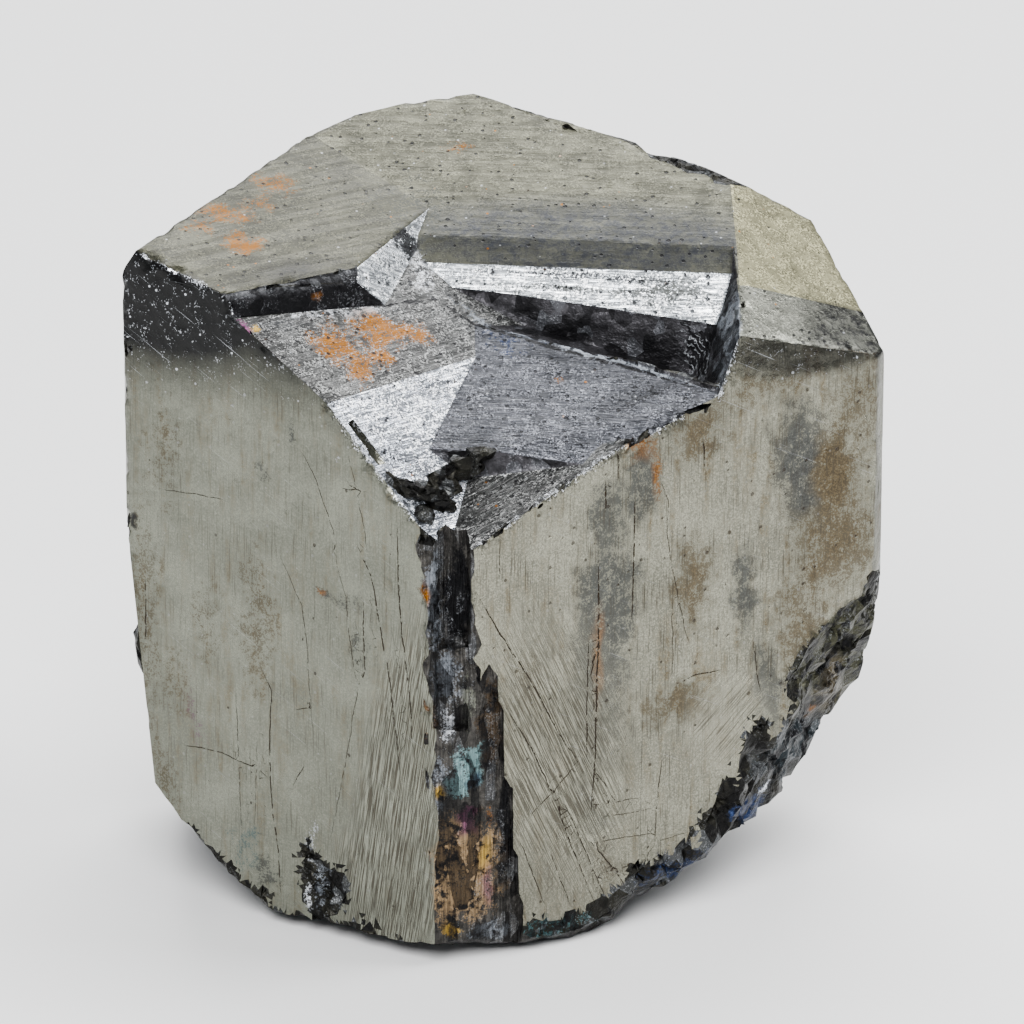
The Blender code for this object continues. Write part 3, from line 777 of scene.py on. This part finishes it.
def step_face(
    name, bearing, pitch, tone, spacing, contrast, pitted=0.35, lean=0.0, rough=0.25, grainy=0.3, shade=BLACK_AND_SHADE
):
    """A face of the termination: fine steps run across it, and pits are scattered over it."""
    face = Finish(name, bearing, pitch)
    here, grit = face.here, face.grit
    steps = face.streaks(spacing, 14 * spacing, 0.42, 0.58, lean=lean, seed=2.0, crosswise=True)
    pits, dust, rusty = face.specks(0.4, (0.13, pitted), (0.08, 0.5 * pitted), (0.1, 0.06))
    height = steps * -0.035 * contrast - pits * 0.06 + face.ragged * 0.012
    patches = here.cloud(1.6, 3.0, 0.65).rise(0.3, 0.7)
    colour = patches.paint(darker(tone, 1.2), darker(tone, 0.55))
    colour = (steps * contrast).paint(colour, darker(tone, 0.12))
    if contrast > 0.3:
        fine = face.streaks(spacing / 4, 5 * spacing, 0.42, 0.62, lean=lean, seed=6.0, crosswise=True)
        colour = (fine * contrast * 0.85).paint(colour, darker(tone, 0.15))
        ridges = fine.rise(0.15, 0.0) * patches.rise(0.6, 0.2)
        colour = (ridges * contrast * 0.4).paint(colour, darker(tone, 2.4))
        height = height - fine * 0.014
    colour = ((grit + (face.ragged - 0.5) * 0.8).rise(0.6, 0.9) * grainy).paint(colour, darker(tone, 0.12))
    colour = ((grit - (face.ragged - 0.5) * 0.8).rise(0.35, 0.05) * grainy).paint(colour, darker(tone, 2.6))
    # Painted shade where the mesh marks it, in the given shade colour.
    colour = (here.mark("painted_shade") * (0.4 + face.ragged * 0.6)).paint(colour, shade)
    colour = face.stained.paint(colour, face.stain)
    colour = (dust * 0.25).paint((rusty * 0.8).paint(colour, RUST), PEARL)
    # Cracks, painted shadow lines and pits, in black.
    colour = face.crack_and_shadow_line.either(pits * 0.9).paint(colour, BLACK_AND_SHADE)
    # Painted highlights and shade grains along the worn edges.
    colour = face.worn_rim_glints(colour, 0.7)
    face.done(colour, rough + steps * 0.1 + face.stained * 0.15, height)


# A blue-black used only for painted shade.
SHADE_INK = (0.027, 0.029, 0.034, 1)
# Painted shade on the ledges, as soft ovals.
LEDGE_PAINTED_SHADE = (
    (0.8, (3.4, -6.2), (7.5, 0.9), 0.9, -20.7),
    (0.9, (7.6, -8.6), (4.5, 1.0), 0.9, 27),
    (0.8, (-5.6, -13.0), (2.2, 1.3), 0.9, -30),
    (0.9, (-1.5, -11.2), (2.2, 1.2), 0.9, 10),
    (0.5, (-11.8, -8.6), (2.0, 0.6), 0.9, 25),
)
# Painted shade: the lower part of the roof, a strip along the lower edge of the left roof, the right part of
# the bevel where it mirrors dark surroundings, and the ledges.
for names, shade_ovals in (
    (("roof",), ((1.0, (4.6, -0.3), (14.0, 3.5), 0.5, -7),)),
    (("left_roof",), ((0.9, (-11.4, -5.9), (4.6, 1.1), 0.9, 32.5),)),
    (("bevel",), ((1.0, (20.2, -4.8), (5.2, 7.5), 0.4),)),
    (("ledge", "sill", "front_band"), LEDGE_PAINTED_SHADE),
):
    shaded_points = points_of(*names)
    comb(shaded_points, points[shaded_points, :2], "painted_shade", shade_ovals)
step_face("roof", -6.8, 66.2, (0.092, 0.091, 0.066, 1), 0.45, 0.15, rough=0.38, shade=SHADE_INK)
step_face("left_roof", 32.6, 74.9, (0.046, 0.0455, 0.031, 1), 0.5, 0.12, pitted=0.25, rough=0.38, grainy=0.45)
step_face("shoulder", 53.1, 55.6, (0.235, 0.222, 0.135, 1), 0.7, 0.1, pitted=0.1, rough=0.4, grainy=0.5)
step_face("bevel", 48, 51, (0.155, 0.158, 0.133, 1), 0.5, 0.08, grainy=0.4)
# The two bands get near-white tones: painted reflection of the bright light that these steep faces mirror.
step_face("band", -6.8, 34, (0.88, 0.94, 1.0, 1), 0.3, 0.86, pitted=0.6, grainy=0.5)
step_face("front_band", 39, 44, (0.68, 0.73, 0.82, 1), 0.22, 1.0, pitted=0.5, grainy=0.9)
step_face("ledge", 38, 57, (0.092, 0.093, 0.092, 1), 0.34, 0.6, pitted=0.6, grainy=0.8, shade=SHADE_INK)
shadow = darker(SHADE_INK, 0.5)
step_face("sill", -2.2, 62.3, (0.07, 0.073, 0.084, 1), 0.34, 0.35, pitted=0.6, lean=3, grainy=0.7, shade=shadow)

# ---------------------------------------------------------------------------------------------
# The risers between the steps, the hidden prism faces, and the fractures: dark and glassy where
# the crystal broke, iridescent in places where the break is old.
# ---------------------------------------------------------------------------------------------
UMBER = (0.15, 0.08, 0.032, 1)
# Places on the fractures are in mm, seen from the front: to the right, and up.
CORNER_STAINS = (
    ((0.3, 0.2, 0.105, 1), 0.9, (-2.4, 5.5), (2.6, 3.8), 0.45),
    (STEEL, 0.7, (-3.5, 10.5), (0.7, 2.0), 0.5),
    (STEEL, 0.9, (-3.75, 20.8), (0.5, 3.4), 0.4),
    (BLACK_AND_SHADE, 1.0, (-2.5, 20.9), (0.75, 3.3), 0.3),
    (BLACK_AND_SHADE, 0.8, (-4.4, 20.0), (0.35, 3.4), 0.4),
    (RUST, 0.9, (-4.2, 21.2), (0.3, 0.9), 0.6),
    (STEEL, 0.85, (-2.9, 16.4), (1.1, 2.1), 0.5),
    (PEARL, 0.7, (-2.9, 13.8), (0.5, 0.8), 0.6),
    (UMBER, 0.8, (-3.9, 14.2), (0.55, 1.3), 0.5),
    (OLIVE, 0.7, (-1.9, 15.2), (0.4, 2.1), 0.5),
    (BARK, 0.8, (-0.7, 13.6), (0.7, 3.6), 0.4),
    (BLACK_AND_SHADE, 0.9, (0.0, 7.2), (0.5, 4.2), 0.4),
    ((0.2, 0.33, 0.34, 1), 1.0, (-2.1, 11.3), (1.1, 1.9), 0.35),
    (BLUE, 0.8, (-1.6, 10.6), (0.4, 0.7), 0.6),
    (VIOLET, 0.8, (-2.0, 8.4), (0.8, 1.0), 0.5),
    (VIOLET, 0.5, (-0.9, 4.5), (0.4, 1.6), 0.6),
    (GOLD, 0.8, (-1.1, 6.2), (0.45, 1.4), 0.7),
    (GOLD, 1.0, (-3.4, 10.2), (0.35, 0.5), 0.5),
    (GOLD, 1.0, (-2.7, 2.1), (0.65, 0.65), 0.5),
    (RUST, 0.7, (-0.75, 8.3), (0.2, 0.9), 0.7),
    (STEEL, 0.7, (-0.8, 1.6), (1.2, 0.7), 0.5),
)
FRACTURE_STAINS = (
    ((0.036, 0.036, 0.022, 1), 0.9, (18.6, 12.6), (3.4, 5.4), 0.4),
    (BRONZE, 0.7, (18.0, 10.5), (1.2, 2.4), 0.6),
    ((0.02, 0.026, 0.03, 1), 0.95, (15.7, 7.3), (1.9, 2.2), 0.4),
    (BLUE, 1.0, (13.3, 4.9), (1.3, 1.5), 0.5),
    (BLUE, 0.7, (9.5, 2.6), (3.5, 1.2), 0.6),
    (PEARL, 1.0, (14.3, 5.6), (0.45, 0.25), 0.4),
    (RUST, 0.9, (17.0, 9.2), (0.4, 0.3), 0.6),
    (TEAL, 0.5, (2.0, 1.2), (4.0, 0.9), 0.7),
    (STEEL, 0.5, (-9.8, 2.6), (0.5, 1.6), 0.5),
    (PEARL, 0.7, (-10.6, 2.2), (0.25, 1.0), 0.5),
)
# Over the left riser, the black patch is a painted dark reflection, and the pearl dot on the flange is a
# painted glint; the others colour the brow strip, the flange wall and a rust speck.
RISER_STAINS_AND_LIGHT = (
    (BLACK_AND_SHADE, 1.0, (-10.5, 34.4), (8.5, 2.0), 0.2),
    ((0.1, 0.103, 0.11, 1), 0.6, (-11.2, 35.8), (6.5, 0.42), 0.6),
    (STEEL, 0.8, (12.4, 32.2), (1.3, 3.0), 0.5),
    (PEARL, 0.9, (13.1, 33.7), (0.3, 0.6), 0.5),
    (RUST, 0.6, (-10.0, 34.9), (0.25, 0.25), 0.5),
)
for name, stains in (("riser", RISER_STAINS_AND_LIGHT), ("corner", CORNER_STAINS), ("fracture", FRACTURE_STAINS)):
    broken = points_of(name)
    stain(broken, points[broken][:, ::2], stains)


def rough_break(name, tone, glint, size=1.0, fibrous=0.0, rings=None):
    """A fracture: dark, glassy and in plates, with painted glints. Where it splits like glass, it has rings
    about a middle, with painted highlights on their crests.
    """
    face = Finish(name, 0, 0)
    here, grit = face.here, face.grit
    lumps = here.cloud(0.9 * size, 4.0, 0.7).rise(0.3, 0.7)
    stretched = {0: here, 1: (1, 1, 0.3 if fibrous else 0.8)}
    upright = here.node("ShaderNodeVectorMath", {"operation": "MULTIPLY"}, stretched)
    plates = upright.cells(0.7 * size, out="Color").along((1, 0, 0))
    colour = lumps.paint(tone, darker(tone, 0.3))
    # Painted glints: some plates in steel grey.
    colour = (plates.rise(0.75, 0.95) * glint).paint(colour, STEEL)
    shaded = lumps.rise(0.4, 0.9).paint(face.stain, BLACK_AND_SHADE)
    colour = face.stained.paint(colour, shaded)
    colour = (plates.rise(0.55, 0.1) * 0.8).paint(colour, darker(BLACK_AND_SHADE, 0.6))
    height = lumps * 0.06 + plates * 0.12
    if fibrous:
        fibres = face.streaks(0.1, 2.2, 0.45, 0.62, seed=4.0)
        colour = (fibres * fibrous * 0.8).paint(colour, BLACK_AND_SHADE)
        height = height + fibres * 0.04
    # Painted glints: bright grains in pearl.
    colour = ((grit + (plates - 0.5) * 0.6).rise(1.0, 1.2) * glint).paint(colour, PEARL)
    if rings:
        middle, inner, reach, spacing, start = rings
        off = here.node("ShaderNodeVectorMath", {"operation": "DISTANCE"}, {0: here, 1: middle}, out="Value")
        wave = here.math("SINE", (off + lumps * 0.45) * (2 * math.pi / spacing))
        shown = wave.rise(0.45, 1.0) * off.rise(reach, 0.8 * reach) * off.rise(inner, 1.2 * inner)
        shown *= here.along((1, 0, 0)).rise(start, start + 1.0)
        # The crests of the rings are painted pale as highlights.
        colour = (shown * (face.ragged + grit * 0.4).rise(0.45, 1.0)).paint(colour, darker(PEARL, 0.45))
        height = height + shown * 0.05
    rough = 0.34 + lumps * 0.2
    face.done(colour, rough, height, glassy=0.15)


rough_break("riser", (0.06, 0.058, 0.064, 1), 0.12, rings=((8.2, -4.0, 29.2), 1.2, 4.0, 0.36, 9.2))
prism_face("far_face", 90, (0.13, 0.13, 0.108, 1), 5, -20)
rough_break("fracture", (0.026, 0.025, 0.02, 1), 0.15)
rough_break("corner", (0.08, 0.075, 0.068, 1), 0.14, 0.8, fibrous=0.5)

for name, values in MARKS.items():
    kind = "FLOAT_COLOR" if values.ndim > 1 else "FLOAT"
    mark = crystal_mesh.attributes.new(name, kind, "POINT")
    mark.data.foreach_set("color" if values.ndim > 1 else "value", values.ravel())

# ---------------------------------------------------------------------------------------------
# The studio: a pale paper floor, three soft lamps around the crystal, a dim grey sky, and a
# camera with a long lens that looks down on it a little from the front.
# ---------------------------------------------------------------------------------------------
floor_mesh = bpy.data.meshes.new("floor")
half = 3.0
floor_corners = [(-half, -half, 0), (half, -half, 0), (half, half, 0), (-half, half, 0)]
floor_mesh.from_pydata(floor_corners, [], [(0, 1, 2, 3)])
floor = bpy.data.objects.new("floor", floor_mesh)
bpy.context.scene.collection.objects.link(floor)
paper = bpy.data.materials.new("floor_paper")
paper.use_nodes = True
paper.node_tree.nodes["Principled BSDF"].inputs["Base Color"].default_value = (0.8, 0.8, 0.8, 1)
paper.node_tree.nodes["Principled BSDF"].inputs["Roughness"].default_value = 0.9
floor_mesh.materials.append(paper)


def lamp(name, bearing, height, away, size, power):
    """A square soft lamp that looks at the crystal."""
    light = bpy.data.lights.new(name, "AREA")
    light.shape, light.size, light.energy = "SQUARE", size, power
    stand = bpy.data.objects.new(name, light)
    stand.location = outward(bearing, height) * away + Vector((0, 0, 0.02))
    stand.rotation_euler = outward(bearing, height).to_track_quat("Z", "Y").to_euler()
    bpy.context.scene.collection.objects.link(stand)


lamp("front_lamp", -10, 45, 0.5, 0.3, 5.0)
lamp("right_lamp", 95, 45, 0.5, 0.25, 2.5)
lamp("back_lamp", 178, 52, 0.55, 0.4, 5.0)
world = bpy.data.worlds.new("studio")
world.use_nodes = True
world.node_tree.nodes["Background"].inputs["Color"].default_value = (0.8, 0.85, 0.9, 1)
world.node_tree.nodes["Background"].inputs["Strength"].default_value = 0.35
bpy.context.scene.world = world

lens = bpy.data.cameras.new("camera")
lens.lens, lens.sensor_width = 267.3, 36
camera = bpy.data.objects.new("camera", lens)
AIM = Vector((0.43, 0.94, 19.8)) * MM
BACK, LOOK_DOWN = 0.42, 20
camera.location = AIM + outward(0, LOOK_DOWN) * BACK
camera.rotation_euler = outward(0, LOOK_DOWN).to_track_quat("Z", "Y").to_euler()
bpy.context.scene.collection.objects.link(camera)
bpy.context.scene.camera = camera
